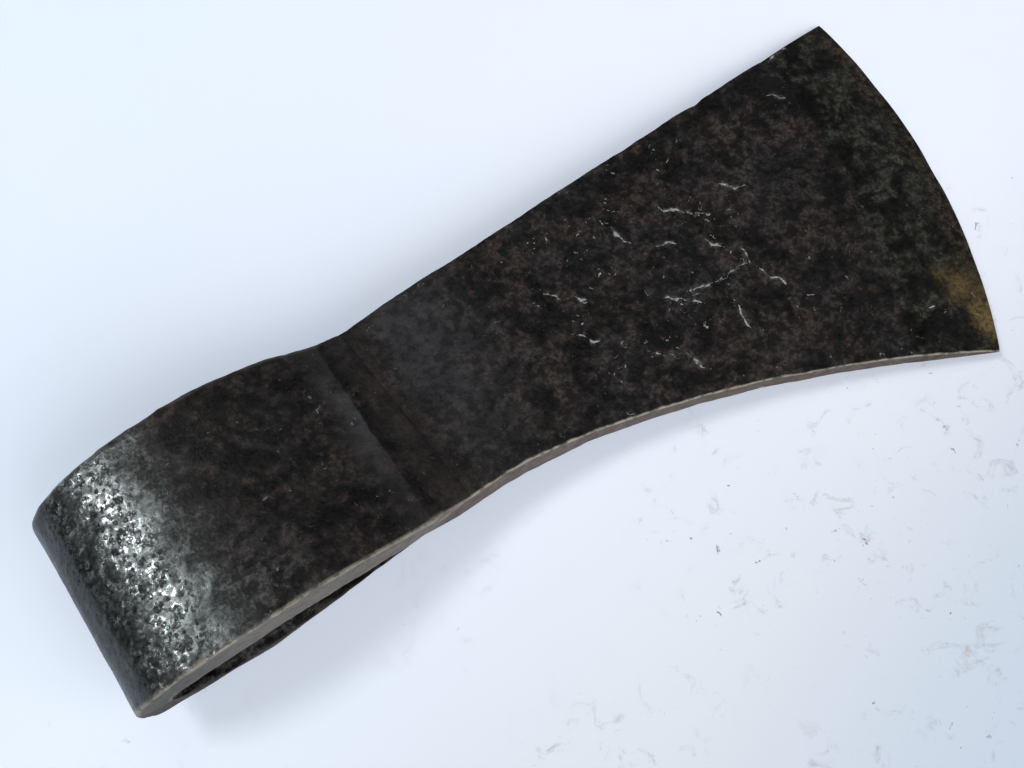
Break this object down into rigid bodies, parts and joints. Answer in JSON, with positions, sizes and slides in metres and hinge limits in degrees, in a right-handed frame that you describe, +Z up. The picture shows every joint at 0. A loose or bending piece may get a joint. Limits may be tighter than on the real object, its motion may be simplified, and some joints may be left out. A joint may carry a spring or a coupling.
{
  "type": "broad axe head",
  "caption": "Hand-forged broad axe head with a wrapped eye, a waisted neck, a blade that flares to a skewed cutting edge, and an inset steel bit.",
  "frame": {"origin": "centre of the eye: the middle of its bore along the handle, and the mid-plane of the head", "axes": "+X runs from the poll towards the cutting edge, +Y along the eye from the beard side to the top side, +Z up out of the upper cheek. The head lies on its cheek with its nose down by about 4 degrees about +Y, so the eye's axis and its rims are square to +Y, and its lowest points rest on one level plane."},
  "size_m": [0.2588, 0.1091, 0.0333],
  "materials": {
    "strap_iron": "hand-forged wrought iron, dark brown-black, pitted, rubbed bright over the poll",
    "blade_iron": "hand-forged wrought iron, dark brown-black, pitted, with bright worn arrises",
    "bit_steel": "mottled greenish-grey steel with a browned ground bevel"
  },
  "bodies": {
    "root": {"eye_strap": "strap_iron", "blade": "blade_iron", "steel_bit": "bit_steel"}
  },
  "joints": []
}
